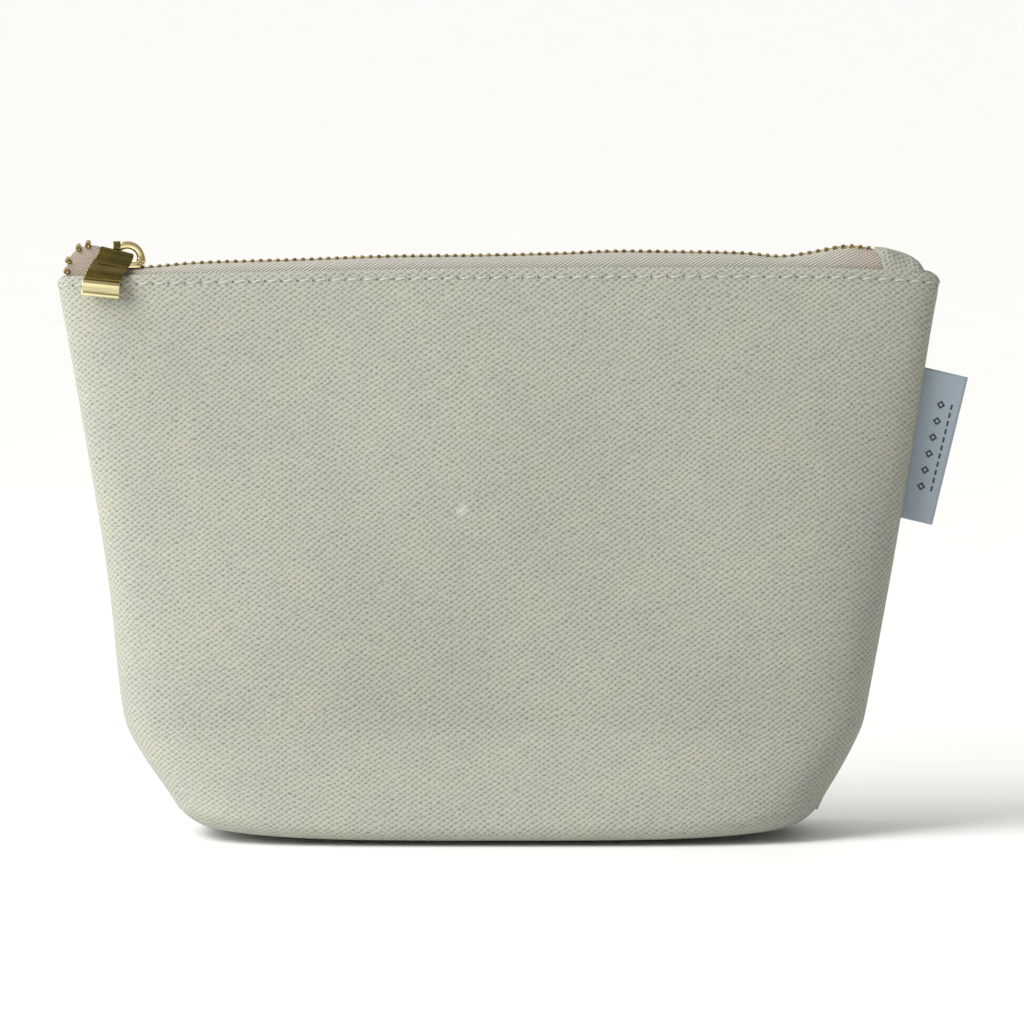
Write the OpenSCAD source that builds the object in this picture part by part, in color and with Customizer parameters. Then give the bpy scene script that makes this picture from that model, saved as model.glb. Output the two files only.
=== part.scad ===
/* [Pouch] */
// Width across the top edge, from side seam to side seam
top_w = 220; // [160:1:300]
// Height of the hem above the base, at mid width
height = 142; // [110:1:200]
// Rise of the hem from the side seams to the middle
hem_crown = 2.4; // [0:0.1:4]
// Room between each side of the slider and the hem's outer face, which sets the mouth's depth
mouth_room = 3.4; // [3:0.1:6]
// Depth where the end walls fold into the side seams
mid_d = 37; // [28:1:50]
// Length of the boxed base
base_l = 157; // [110:1:180]
// Depth of the boxed base, measured to its sharp edge before the fold's rounding
base_d = 60; // [44:1:80]
// Height at which the end walls fold into the side seams
fold_h = 27; // [20:1:40]
// Lean of the side seams above that fold
side_angle = 9.4; // [0:0.1:12]
// Radius of the fold between the walls and the base
base_r = 5; // [3:0.5:10]

/* [Cloth] */
// Thickness of the canvas
canvas_t = 1; // [0.6:0.1:1.5]
// Thickness of the lining
lining_t = 0.4; // [0.2:0.1:0.6]
// Room between canvas and lining, where the zip tape is sewn in
lining_gap = 0.8; // [0.7:0.1:1.5]
// Distance from the hem down to the lining's top edge
lining_drop = 1.5; // [1:0.1:4]
// Clearance between pieces of cloth
cloth_gap = 0.1; // [0.05:0.05:0.3]

/* [Stitching] */
// Distance from the hem down to the topstitch
stitch_drop = 2.8; // [2:0.1:5]
// Distance from one stitch to the next
stitch_pitch = 4; // [2:0.5:6]
// Visible length of a stitch
stitch_l = 3.1; // [1.5:0.1:5]
// Diameter of the thread
thread_d = 0.5; // [0.3:0.05:0.8]

/* [Zip] */
// Where the closed row of teeth begins, from the middle of the pouch
teeth_x0 = -93.2; // [-100:0.1:-60]
// Where the teeth and tapes end, beside the end tab
zip_x1 = 93.5; // [60:0.5:100]
// Height of the zip above the hem line at its left end
zip_rise = 1; // [0.8:0.1:3]
// Upward slope of the zip, left to right
zip_slope = 1.4; // [0:0.1:2]
// Distance from one tooth to the next on one tape
tooth_pitch = 2.1; // [1.6:0.05:3]
// Gap between a tooth and its neighbour on the other tape
tooth_gap = 0.06; // [0.04:0.01:0.1]
// Thickness of a tooth through the zip
tooth_h = 2; // [1.6:0.1:2.6]
// Distance from the zip's centre line to a tooth's back
tooth_back = 2.6; // [2.2:0.1:3.2]
// How far a tooth's head crosses the centre line
tooth_head = 0.4; // [0.2:0.1:0.7]
// Number of open teeth left of the slider, on each tape
open_teeth = 4; // [1:1:6]
// Thickness of the zip tape
tape_t = 0.4; // [0.3:0.05:0.6]
// Distance from the centre line to the tape's edge
tape_edge = 1.5; // [1.3:0.1:2]
// How far past the slider's side each tape runs flat before it turns down
tape_room = 0.6; // [0.4:0.1:1.4]
// Depth of tape held inside the hem
tape_depth = 8; // [6:0.5:12]

/* [Slider] */
// Middle of the slider when closed, from the middle of the pouch
slider_x = -92.8; // [-100:0.1:-60]
// Length of the slider
slider_l = 10; // [8:0.5:14]
// Width of the slider
slider_w = 7.2; // [6.8:0.1:9]
// Thickness of each slider plate
plate_t = 0.8; // [0.6:0.1:1.2]
// Clearance between slider and teeth
slider_gap = 0.15; // [0.1:0.05:0.3]
// Height of the slit between the flanges, for the tape
slit_h = 0.9; // [0.8:0.05:1.4]
// Width of the divider between the two rows of teeth
divider_w = 2.4; // [1.6:0.1:2.6]
// Outer radius of the crown hoop
hoop_r = 4.3; // [3.8:0.1:5.5]
// Thickness of the crown hoop's bar
hoop_bar = 1.7; // [1.2:0.1:2]
// Straight leg of the crown hoop below its arch
hoop_leg = 0.6; // [0.3:0.1:2]

/* [Puller] */
// Width of the strap
strap_w = 9.2; // [6:0.1:12]
// Thickness of the strap
strap_t = 0.8; // [0.6:0.1:1.2]
// Inner radius of the eye that goes through the hoop
eye_r = 1.5; // [1.3:0.1:2]
// Thickness of the eye's wire
eye_wire = 1; // [0.8:0.1:1.2]
// Clearance between the hanging strap and the topstitch where the pouch is deepest
strap_gap = 0.3; // [0.2:0.1:1]
// How far the strap leans towards the zip's end when it hangs
strap_lean = 22; // [0:1:30]
// Height of the folded lip at the strap's end
lip_h = 3.6; // [2:0.1:5]
// Depth of the folded lip
lip_d = 2.4; // [1.6:0.1:3]

/* [End tab] */
// Where the folded canvas tab starts, beside the end of the zip
tab_x0 = 93.8; // [60:0.1:101]
// Where the tab ends
tab_x1 = 106; // [72:0.5:107]
// Height of the tab's roll above the hem
tab_rise = 5.6; // [3:0.1:8]

/* [Label] */
// Height of the label's upper corner at the seam
label_z = 117; // [60:1:130]
// Length of the label along the seam
label_l = 38; // [20:1:60]
// Width of the label outside the seam
label_w = 10; // [5:0.5:20]
// Thickness of the folded label
label_t = 0.8; // [0.4:0.1:1.2]
// Turn of the label away from the seam's line
label_tilt = 4; // [0:1:8]
// Depth of the label held in the seam
label_in = 0.8; // [0.5:0.1:1]

/* [Hidden] */

// Grid steps across half a panel, up a wall, round the base fold and over the half base
across_n = 10;
wall_n = 11;
// How much closer the wall's rows lie near the base than near the hem
row_crowd = 1.5;
fold_n = 3;
floor_n = 2;
// How square a level section of the pouch is, from 0 for pointed ends to 1
square_k = 0.9;
// How softly the end walls turn into the side seams
fold_soft = 2;
// Share by which the middle of the base is shorter than its edges
floor_in = 0.03;
// Steps along and over the end tab
tab_n = 5;
arch_n = 10;
fine = 32;

// Depth across both hems at the top: the slider's width and the room beside it.
top_d = slider_w + 2 * mouth_room;

// Half width and half depth of the pouch at a height, straight above the fold and flared below it.
function flare(z) = (sqrt(pow(fold_h - z, 2) + pow(fold_soft, 2)) + fold_h - z) / 2;
function upper_w(z) = top_w / 2 - tan(side_angle) * (height - z);
function upper_d(z) = top_d / 2 + (mid_d - top_d) / 2 * (height - z) / (height - fold_h);
function half_w(z) = upper_w(z) - (upper_w(0) - base_l / 2) * flare(z) / flare(0);
function half_d(z) = upper_d(z) + (base_d / 2 - upper_d(0)) * flare(z) / flare(0);

// A level section: u runs from 0 at the middle of the wall to 1 at the side seam.
function run(u) = 3 * pow(1 - u, 2) * u * square_k + 3 * (1 - u) * u * u + pow(u, 3);
function bow(u) = pow(1 - u, 3) + 3 * pow(1 - u, 2) * u + 3 * (1 - u) * u * u * square_k;

function hem_z(x) = height - hem_crown * pow(x / (top_w / 2), 2);

// Half depth at x and z of the wall's surface moved inwards by inset, between the cloth's own columns.
function wall_y(x, z, inset) = lookup(abs(x), [
  for (i = [0 : across_n])
    [(half_w(z) - inset) * run(i / across_n), (half_d(z) - inset) * bow(i / across_n)]
]);

// One point of the front cloth: s from -1 to 1 across, row counted from the base seam up.
function cloth_x(s, z, inset) = sign(s) * (half_w(z) - inset) * run(abs(s));
function cloth_point(s, row, inset, drop) =
  row < floor_n ? floor_point(s, 1 - row / floor_n, inset)
  : row <= floor_n + fold_n ? fold_point(s, 90 * (row - floor_n) / fold_n, inset)
  : wall_point(s, pow((row - floor_n - fold_n) / wall_n, row_crowd), inset, drop);
function floor_point(s, back, inset) =
  let (p = fold_point(s, 0, inset))
  [p[0] * (1 - floor_in * back), p[1] * (1 - back), p[2]];
function fold_point(s, turn, inset) =
  let (z = base_r - (base_r - inset) * cos(turn), in = base_r - (base_r - inset) * sin(turn))
  [cloth_x(s, z, in), -(half_d(z) - in) * bow(abs(s)), z];
function wall_point(s, up, inset, drop) =
  let (z = base_r + up * (height - drop - base_r), x = cloth_x(s, z, inset))
  [x, -(half_d(z) - inset) * bow(abs(s)), z - (height - hem_z(x)) * up];
function cloth_grid(inset, drop) = [
  for (row = [0 : floor_n + fold_n + wall_n])
    [for (i = [-across_n : across_n]) cloth_point(i / across_n, row, inset, drop)]
];

// A closed solid between an outer and an inner grid of points of the same size.
function flat_list(grid) = [for (line = grid) for (p = line) p];
function quad(a, b, c, d) = [[a, b, c], [a, c, d]];
// A skin's four-sided cell, cut across from the corner nearer the middle of the grid's width.
function cell(a, b, c, d, right) = right ? quad(b, c, d, a) : quad(a, b, c, d);
module shell(outer, inner) {
  m = len(outer);
  n = len(outer[0]);
  k = m * n;
  skins = [
    for (i = [0 : m - 2]) for (j = [0 : n - 2])
      for (f = concat(
        cell(i * n + j, (i + 1) * n + j, (i + 1) * n + j + 1, i * n + j + 1, 2 * j >= n - 1),
        cell(
          k + i * n + j + 1, k + (i + 1) * n + j + 1,
          k + (i + 1) * n + j, k + i * n + j, 2 * j < n - 1
        )
      )) f
  ];
  ends = [
    for (j = [0 : n - 2])
      for (f = concat(
        quad(j, j + 1, k + j + 1, k + j),
        quad((m - 1) * n + j + 1, (m - 1) * n + j, k + (m - 1) * n + j, k + (m - 1) * n + j + 1)
      )) f
  ];
  sides = [
    for (i = [0 : m - 2])
      for (f = concat(
        quad((i + 1) * n, i * n, k + i * n, k + (i + 1) * n),
        quad(i * n + n - 1, (i + 1) * n + n - 1, k + (i + 1) * n + n - 1, k + i * n + n - 1)
      )) f
  ];
  polyhedron(concat(flat_list(outer), flat_list(inner)), concat(skins, ends, sides));
}

module rod(a, b, d) {
  way = b - a;
  level = norm([way[0], way[1]]);
  translate(a)
    rotate([0, atan2(level, way[2]), atan2(way[1], way[0])])
      cylinder(h = norm(way), d = d, $fn = 16);
}

module outer_cloth() {
  shell(cloth_grid(0, 0), cloth_grid(canvas_t, 0));
}

module inner_cloth() {
  in = canvas_t + lining_gap;
  shell(cloth_grid(in, lining_drop), cloth_grid(in + lining_t, lining_drop));
}

module to_back() {
  mirror([0, 1, 0]) children();
}

module front_panel() {
  color("#C6C7BA") outer_cloth();
}

module back_panel() {
  color("#C6C7BA") to_back() outer_cloth();
}

module front_lining() {
  color("#DCD8CC") inner_cloth();
}

module back_lining() {
  color("#DCD8CC") to_back() inner_cloth();
}

// The zip's centre line, from where it meets the slider's middle.
zip_z = hem_z(slider_x) + zip_rise;
function zip_line(x) = zip_z + tan(zip_slope) * (x - slider_x);
module on_zip(x) {
  translate([x, 0, zip_line(x)]) rotate([0, -zip_slope, 0]) children();
}

tape_x0 = -(top_w / 2 - 5);
tape_in = canvas_t + cloth_gap;
function tape_turn(x) = min(slider_w / 2 + tape_room, wall_y(x, height, tape_in + tape_t) - tape_t);
function tape_line(x, over) =
  let (
    in = tape_in + (1 - over) * tape_t / 2,
    z = zip_line(x) + over * tape_t / 2,
    top = hem_z(x) + cloth_gap,
    foot = hem_z(x) - tape_depth
  )
  [
    [x, -tape_edge, z],
    [x, -tape_turn(x), z],
    [x, -wall_y(x, height, in), top],
    [x, -wall_y(x, height - tape_depth, in), foot]
  ];
// The tape turns where the cloth's columns do, so it stays parallel to the wall.
tape_columns = [
  for (i = [-across_n : across_n])
    let (x = cloth_x(i / across_n, height, tape_in))
      if (x > tape_x0 + tape_t && x < zip_x1 - tape_t) x
];
function tape_grid(over) = [
  for (x = concat([tape_x0], tape_columns, [zip_x1])) tape_line(x, over)
];

module tape() {
  color("#BDB5A6") shell(tape_grid(-1), tape_grid(1));
}

module zip_tape_front() {
  tape();
}

module zip_tape_back() {
  to_back() tape();
}

tooth_l = tooth_pitch / 2 - tooth_gap;
teeth_n = floor((zip_x1 - teeth_x0 - tooth_pitch) / tooth_pitch);
open_out = divider_w / 2 + tooth_head + 0.2;

// One tooth of the front tape, its back towards the hem.
module tooth(out) {
  translate([-tooth_l / 2, -tooth_back - out, -tooth_h / 2])
    cube([tooth_l, tooth_back + tooth_head, tooth_h]);
}

module teeth(shift) {
  color("#8F7A45") {
    for (i = [0 : teeth_n])
      on_zip(teeth_x0 + tooth_l / 2 + i * tooth_pitch + shift) tooth(0);
    for (i = [1 : open_teeth])
      on_zip(slider_x - slider_l / 2 - i * tooth_pitch + tooth_l / 2) tooth(open_out * 0.55);
  }
}

module zip_teeth_front() {
  teeth(0);
}

module zip_teeth_back() {
  to_back() teeth(tooth_pitch / 2);
}

// Slider, drawn about its middle on the zip's centre line.
plate_z = tooth_h / 2 + slider_gap;
flange_y = tooth_back + 0.3;
hoop_z = plate_z + plate_t + hoop_leg;
hoop_mid = hoop_r - hoop_bar / 2;
function arc(x, y, r, from, to) = [
  for (i = [0 : 6]) [x + r * cos(from + (to - from) * i / 6), y + r * sin(from + (to - from) * i / 6)]
];

module plate_outline() {
  r = slider_w / 3;
  x = slider_l / 2 - r;
  y = slider_w / 2 - r;
  polygon(concat(
    arc(x, y, r, 0, 90), arc(-x, y, r, 90, 180),
    arc(-x, -y, r, 180, 270), arc(x, -y, r, 270, 360)
  ));
}

module slider_half() {
  translate([0, 0, plate_z]) linear_extrude(plate_t) plate_outline();
  translate([0, 0, slit_h / 2])
    linear_extrude(plate_z - slit_h / 2 + plate_t / 2)
      intersection() {
        plate_outline();
        for (side = [-1, 1])
          translate([-slider_l / 2, side > 0 ? flange_y : -slider_w / 2])
            square([slider_l, slider_w / 2 - flange_y]);
      }
}

module divider() {
  translate([0, 0, -plate_z - plate_t / 2])
    linear_extrude(2 * plate_z + plate_t)
      polygon([
        [-slider_l / 2 + 0.4, -divider_w / 2],
        [-slider_l / 2 + 2.2, -divider_w / 2],
        [-slider_l / 2 + 4, 0],
        [-slider_l / 2 + 2.2, divider_w / 2],
        [-slider_l / 2 + 0.4, divider_w / 2]
      ]);
}

module crown_hoop() {
  translate([0, 0, hoop_z])
    rotate([90, 0, 0])
      rotate_extrude(angle = 180, $fn = fine)
        translate([hoop_mid, 0]) circle(d = hoop_bar, $fn = fine);
  for (side = [-1, 1])
    translate([side * hoop_mid, 0, plate_z + plate_t / 2])
      cylinder(h = hoop_leg + plate_t / 2, d = hoop_bar, $fn = fine);
}

module slider_body() {
  color("#C9B36A") on_zip(slider_x) {
    slider_half();
    mirror([0, 0, 1]) slider_half();
    divider();
    crown_hoop();
  }
}

// Puller, drawn about the middle of its eye, which hangs on the top of the hoop.
eye_z = hoop_z + hoop_mid - 0.2;
eye_mid = eye_r + eye_wire / 2;
eye_x = -1;
strap_front = half_d(height - stitch_drop) + thread_d / 2 + strap_gap + strap_t / 2;
fold_z = -(eye_z + zip_rise - 0.4) / cos(strap_lean);
strap_line = [
  [-eye_mid - 0.1, 0.7],
  [-eye_mid - 0.5, -1.2],
  [-0.62 * strap_front, 0.42 * fold_z],
  [-0.9 * strap_front, 0.68 * fold_z],
  [-strap_front, 0.95 * fold_z],
  [-strap_front - 0.2, fold_z - 0.8]
];

// The strap's edge outline, its front face and then its back face, with the lip at its foot.
module strap_outline() {
  n = len(strap_line);
  foot = strap_line[n - 1];
  polygon(concat(
    [for (i = [0 : n - 1]) strap_line[i] + [-strap_t / 2, 0]],
    [[foot[0] - lip_d, foot[1]], [foot[0] - lip_d, foot[1] - lip_h]],
    [[foot[0] + strap_t / 2, foot[1] - lip_h]],
    [for (i = [n - 1 : -1 : 0]) strap_line[i] + [strap_t / 2, 0]]
  ));
}

module pull_tab() {
  color("#8C7C3E") on_zip(slider_x) translate([eye_x, 0, eye_z]) {
    rotate([0, 90, 0])
      rotate_extrude($fn = fine)
        translate([eye_mid, 0]) circle(d = eye_wire, $fn = fine);
    rotate([0, strap_lean, 0])
      translate([-strap_w / 2 - 1, 0, 0])
        rotate([90, 0, 90])
          linear_extrude(strap_w) strap_outline();
  }
}

// Folded canvas tab: an arch that stands on both hems and falls towards the side seam.
function tab_top(x) =
  let (f = (x - tab_x0) / (tab_x1 - tab_x0))
  hem_z(x) + tab_rise * (1 - 0.12 * f) * (1 - pow(f, 2.6) * 0.75);
function tab_ring(x, in) = [
  for (i = [0 : arch_n])
    let (
      turn = 180 * i / arch_n,
      foot = hem_z(x) + cloth_gap,
      y = wall_y(x, height, canvas_t * 0.3) - in
    )
    [x, -y * cos(turn), foot + (tab_top(x) - in - foot) * sin(turn)]
];
function tab_grid(in) = [
  for (i = [0 : tab_n]) tab_ring(tab_x0 + (tab_x1 - tab_x0) * i / tab_n, in)
];

module zip_end_tab() {
  color("#BFC0B2") shell(tab_grid(canvas_t), tab_grid(0));
}

module side_label() {
  color("#939FAB")
    translate([half_w(label_z) - label_in, label_t / 2, label_z])
      rotate([0, side_angle + label_tilt, 0])
        rotate([90, 0, 0])
          linear_extrude(label_t)
            polygon([
              [0, 0],
              [label_w + label_in, 0],
              [label_w + label_in, -label_l],
              [label_l * tan(label_tilt), -label_l]
            ]);
}

stitch_n = floor((top_w / 2 - 5) / stitch_pitch);
function stitch_point(x) =
  let (z = hem_z(x) - stitch_drop)
  [x, -wall_y(x, height - stitch_drop, 0), z];
module topstitch() {
  color("#E4E2D6")
    for (i = [-stitch_n : stitch_n])
      rod(
        stitch_point(i * stitch_pitch - stitch_l / 2),
        stitch_point(i * stitch_pitch + stitch_l / 2),
        thread_d
      );
}

module topstitch_front() {
  topstitch();
}

module topstitch_back() {
  to_back() topstitch();
}

seam_in = canvas_t + lining_gap / 2;
function seam_point(side, row) = cloth_point(side, row, seam_in, lining_drop / 2);
module side_thread(side) {
  color("#E4E2D6")
    for (row = [floor_n + fold_n : floor_n + fold_n + wall_n - 2])
      let (
        a = seam_point(side, row),
        b = seam_point(side, row + 1),
        tip = thread_d * (b - a) / norm(b - a)
      ) rod(a + tip, b - tip, thread_d);
}

module seam_thread_left() {
  side_thread(-1);
}

module seam_thread_right() {
  side_thread(1);
}

module seam_thread_bottom() {
  reach = base_l / 2 - 2 * base_r;
  color("#E4E2D6") rod([-reach, 0, seam_in], [reach, 0, seam_in], thread_d);
}

module corner_thread(side) {
  x = side * (base_l / 2 - 1.5 * base_r);
  reach = wall_y(x, seam_in, base_r) - base_r / 3;
  color("#E4E2D6") rod([x, -reach, seam_in], [x, reach, seam_in], thread_d);
}

module seam_thread_corner_left() {
  corner_thread(-1);
}

module seam_thread_corner_right() {
  corner_thread(1);
}

front_panel();
back_panel();
front_lining();
back_lining();
zip_tape_front();
zip_tape_back();
zip_teeth_front();
zip_teeth_back();
slider_body();
pull_tab();
zip_end_tab();
side_label();
topstitch_front();
topstitch_back();
seam_thread_left();
seam_thread_right();
seam_thread_bottom();
seam_thread_corner_left();
seam_thread_corner_right();
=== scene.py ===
import math

import bpy
import numpy as np
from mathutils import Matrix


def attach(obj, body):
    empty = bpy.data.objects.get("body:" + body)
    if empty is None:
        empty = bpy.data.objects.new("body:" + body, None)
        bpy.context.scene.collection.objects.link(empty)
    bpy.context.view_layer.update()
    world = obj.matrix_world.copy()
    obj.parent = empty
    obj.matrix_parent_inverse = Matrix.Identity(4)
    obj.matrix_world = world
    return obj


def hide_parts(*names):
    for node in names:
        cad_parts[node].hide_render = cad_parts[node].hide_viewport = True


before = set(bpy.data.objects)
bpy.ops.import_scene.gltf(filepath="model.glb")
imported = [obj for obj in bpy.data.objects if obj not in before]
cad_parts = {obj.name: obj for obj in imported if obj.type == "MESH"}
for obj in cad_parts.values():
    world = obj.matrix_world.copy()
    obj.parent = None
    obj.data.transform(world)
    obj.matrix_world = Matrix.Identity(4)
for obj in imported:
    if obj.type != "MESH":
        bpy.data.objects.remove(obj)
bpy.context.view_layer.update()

# ---------------------------------------------------------------- canvas body
# Two panels of natural 16 oz cotton duck, each a wall with half of the boxed base and half of
# both end walls. They are sewn right sides together at the sides, base and corners, then turned.
MM = 0.001
TOP_W, HEIGHT, TOP_D, MID_D = 220.0, 142.0, 14.0, 37.0
BASE_L, BASE_D, FOLD_H, FOLD_SOFT, BASE_R = 157.0, 60.0, 27.0, 2.0, 5.0
SIDE_LEAN = math.tan(math.radians(9.4))
SQUARE = 0.9
CANVAS_T = 1.0
HEM_T, HEM_FOLD = 1.7, 9.0
STITCH_DROP, STITCH_PITCH, STITCH_L, THREAD_D = 2.8, 4.0, 3.0, 0.44
WARP_PITCH, WEFT_PITCH = 1.05, 0.73


def linear(hex_colour):
    """sRGB hex to the linear colour that a shader takes."""
    channels = np.array([int(hex_colour[i:i + 2], 16) for i in (1, 3, 5)]) / 255
    low = channels / 12.92
    high = ((channels + 0.055) / 1.055) ** 2.4
    return (*np.where(channels <= 0.04045, low, high).tolist(), 1.0)


def feed(tree, node, inputs):
    """Gives each socket of the node a value, or links it to a socket or to a node's first
    output."""
    for socket, value in inputs.items():
        if isinstance(value, bpy.types.Node):
            value = value.outputs[0]
        if isinstance(value, bpy.types.NodeSocket):
            tree.links.new(value, node.inputs[socket])
        else:
            node.inputs[socket].default_value = value


def add(tree, kind, inputs=None, **settings):
    """Adds a node: settings are its own fields and inputs feed its sockets."""
    made = tree.nodes.new("ShaderNode" + kind)
    for field, value in settings.items():
        setattr(made, field, value)
    feed(tree, made, inputs or {})
    return made


def calc(tree, operation, *values):
    """A Math node of numbers, sockets or nodes."""
    return add(tree, "Math", dict(enumerate(values)), operation=operation)


def vector(tree, operation, *values):
    """A Vector Math node of vectors, sockets or nodes."""
    return add(tree, "VectorMath", dict(enumerate(values)), operation=operation)


def noise(tree, place, scale, detail, roughness=0.5):
    """Fractal noise, with its default roughness unless told."""
    inputs = {"Vector": place, "Scale": scale, "Detail": detail, "Roughness": roughness}
    return add(tree, "TexNoise", inputs)


def span(tree, value, low, high):
    """The value's share of the way from low to high, held between 0 and 1."""
    return add(tree, "MapRange", {"Value": value, "From Min": low, "From Max": high})


def blend(tree, share, first, second, kind="MIX"):
    """Two colours mixed by a share."""
    inputs = {"Fac": share, "Color1": first, "Color2": second}
    return add(tree, "MixRGB", inputs, blend_type=kind)


def colour_ramp(tree, value, *stops):
    """A ramp of colours: each stop is a place from 0 to 1 and a hex colour."""
    ramp = add(tree, "ValToRGB", {"Fac": value})
    marks = ramp.color_ramp.elements
    while len(marks) < len(stops):
        marks.new(0.5)
    for mark, (place, tone) in zip(marks, stops):
        mark.position = place
        mark.color = linear(tone)
    return ramp


def new_material(name):
    """An empty node material: returns the material, its tree and its Principled shader."""
    material = bpy.data.materials.new(name)
    material.use_nodes = True
    tree = material.node_tree
    tree.nodes.clear()
    shader = add(tree, "BsdfPrincipled")
    add(tree, "OutputMaterial", {"Surface": shader})
    return material, tree, shader


def duck_canvas(name, spots=()):
    """Plain-weave cotton duck. With a and b the cloth's coordinates over the thread spacing, times
    pi, the height is 0.5 + 0.29 cos(a - b) + 0.21 cos(a + b) raised to 0.42: grains that touch at
    their corners, with a pit between every four, and a slant from the yarn's twist."""
    material, tree, shader = new_material(name)
    cloth = add(tree, "Attribute", attribute_name="cloth").outputs["Vector"]
    drift = noise(tree, cloth, 0.13, 3.0, 0.65)
    drift = vector(tree, "SUBTRACT", drift.outputs["Color"], (0.5, 0.5, 0.5))
    drift = vector(tree, "MULTIPLY", drift, (3.2, 1.9, 0.0))
    jitter = noise(tree, cloth, 0.9, 2.0)
    jitter = vector(tree, "SUBTRACT", jitter.outputs["Color"], (0.5, 0.5, 0.5))
    jitter = vector(tree, "MULTIPLY", jitter, (0.9, 0.55, 0.0))
    woven = vector(tree, "ADD", cloth, drift)
    woven = vector(tree, "ADD", woven, jitter)
    threads = (math.pi / WARP_PITCH, math.pi / WEFT_PITCH, 0.0)
    phase = vector(tree, "MULTIPLY", woven, threads)
    part = add(tree, "SeparateXYZ", {0: phase})
    rise = calc(tree, "SUBTRACT", part.outputs[0], part.outputs[1])
    rise = calc(tree, "COSINE", rise)
    fall = calc(tree, "ADD", part.outputs[0], part.outputs[1])
    fall = calc(tree, "COSINE", fall)
    grain = calc(tree, "MULTIPLY_ADD", rise, 0.29, 0.5)
    grain = calc(tree, "MULTIPLY_ADD", fall, 0.21, grain)
    weave = calc(tree, "POWER", grain, 0.42)
    pick = add(tree, "Mapping", {"Vector": cloth, "Scale": (0.14, 1.3, 1.0)})
    pick = noise(tree, pick, 1.0, 3.0, 0.65)
    lump = noise(tree, cloth, 0.85, 2.0, 0.6)
    yarn = calc(tree, "ADD", lump.outputs["Fac"], pick.outputs["Fac"])
    height = calc(tree, "MULTIPLY_ADD", yarn, 0.38, weave)
    fuzz = noise(tree, cloth, 3.2, 4.0, 0.7)
    height = calc(tree, "MULTIPLY_ADD", fuzz.outputs["Fac"], 0.28, height)
    # Painted shade and highlight: the pits between the threads are darker and the crowns of the threads
    # paler, as light falls on the weave.
    tone = span(tree, height, 0.6, 1.6)
    ramp = colour_ramp(tree, tone, (0.0, "#6E6F63"), (0.4, "#9C9D92"), (1.0, "#B2B3A7"))
    # Yellowish and bluish mottling a couple of centimetres wide, as unbleached cotton has.
    mottle = noise(tree, cloth, 0.06, 5.0, 0.7)
    tint = colour_ramp(tree, mottle.outputs["Fac"], (0.35, "#FBFAF4"), (0.65, "#F1F3F3"))
    colour = blend(tree, 1.0, ramp, tint, "MULTIPLY")
    # Seed husk: sparse dark flecks a thread wide.
    husk = add(tree, "TexVoronoi", {"Vector": cloth, "Scale": 0.42, "Randomness": 1.0})
    chance = add(tree, "SeparateColor", {0: husk.outputs["Color"]})
    rare = calc(tree, "GREATER_THAN", chance.outputs[0], 0.9)
    near = calc(tree, "LESS_THAN", husk.outputs["Distance"], 0.17)
    fleck = calc(tree, "MULTIPLY", rare, near)
    fleck = calc(tree, "MULTIPLY", fleck, 0.3)
    colour = blend(tree, fleck, colour, linear("#67614E"))
    for place, radius, shade in spots:
        away = vector(tree, "DISTANCE", woven, place)
        spot = span(tree, away.outputs["Value"], radius, radius * 0.3)
        colour = blend(tree, spot, colour, linear(shade))
    # Needle holes between the stitches, where the topstitch goes through the hem: painted shade darkens
    # them.
    uv = add(tree, "SeparateXYZ", {0: cloth})
    along = calc(tree, "ADD", uv.outputs[0], STITCH_PITCH / 2)
    along = calc(tree, "PINGPONG", along, STITCH_PITCH / 2)
    down = calc(tree, "ADD", uv.outputs[1], STITCH_DROP)
    hole = add(tree, "CombineXYZ", {0: along, 1: down})
    hole = vector(tree, "LENGTH", hole)
    hole = span(tree, hole.outputs["Value"], 0.46, 0.2)
    colour = blend(tree, hole, colour, linear("#62635A"))
    bump = add(tree, "Bump", {"Height": height, "Strength": 0.8, "Distance": 0.00026})
    feed(tree, shader, {
        "Base Color": colour, "Normal": bump, "Roughness": 0.92, "Specular IOR Level": 0.25,
        "Sheen Weight": 0.12, "Sheen Roughness": 0.6,
    })
    return material


def level_run(u):
    """Across a level section, the share of the half width reached: a cubic Bezier curve's x."""
    return 3 * (1 - u) ** 2 * u * SQUARE + 3 * (1 - u) * u ** 2 + u ** 3


def level_bow(u):
    """The same curve's y: 1 at the middle of the wall and 0 at the side seam."""
    return (1 - u) ** 3 + 3 * (1 - u) ** 2 * u + 3 * (1 - u) * u ** 2 * SQUARE


def flare(z):
    """A softened ramp: about FOLD_H - z below the fold and 0 above it."""
    return (np.sqrt((FOLD_H - z) ** 2 + FOLD_SOFT ** 2) + FOLD_H - z) / 2


def half_w(z):
    """Half width at height z: a straight lean, with the foot pulled in below the fold."""
    foot = TOP_W / 2 - SIDE_LEAN * HEIGHT - BASE_L / 2
    return TOP_W / 2 - SIDE_LEAN * (HEIGHT - z) - foot * flare(z) / flare(0.0)


def half_d(z):
    """Half depth at height z: a straight lean, with the base spread out below the fold."""
    slope = (MID_D - TOP_D) / 2 / (HEIGHT - FOLD_H)
    foot = BASE_D / 2 - TOP_D / 2 - slope * HEIGHT
    return TOP_D / 2 + slope * (HEIGHT - z) + foot * flare(z) / flare(0.0)


def hem_line(x):
    """Height of the hem: a slow parabola up to a crest right of the middle, then a quick quartic
    fall, and rounded corners at the ends."""
    left = 142.3 - 2.6 * ((x - 45) / 155) ** 2
    right = 142.3 - 2.1 * ((x - 45) / 65) ** 4
    return np.where(x < 45, left, right) - 0.16 * np.clip(np.abs(x) - 106.8, 0, None) ** 2


def section_at(x, z):
    """The u at which the section at height z reaches x, by interpolating its own curve."""
    u = np.linspace(0, 1, 400)
    return np.interp(np.abs(x) / half_w(z), level_run(u), u)


def wall_y(x, z, inset):
    """Front wall's y at x and z, inset from its outer face."""
    return -(half_d(z) - inset) * level_bow(section_at(x, z))


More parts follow.
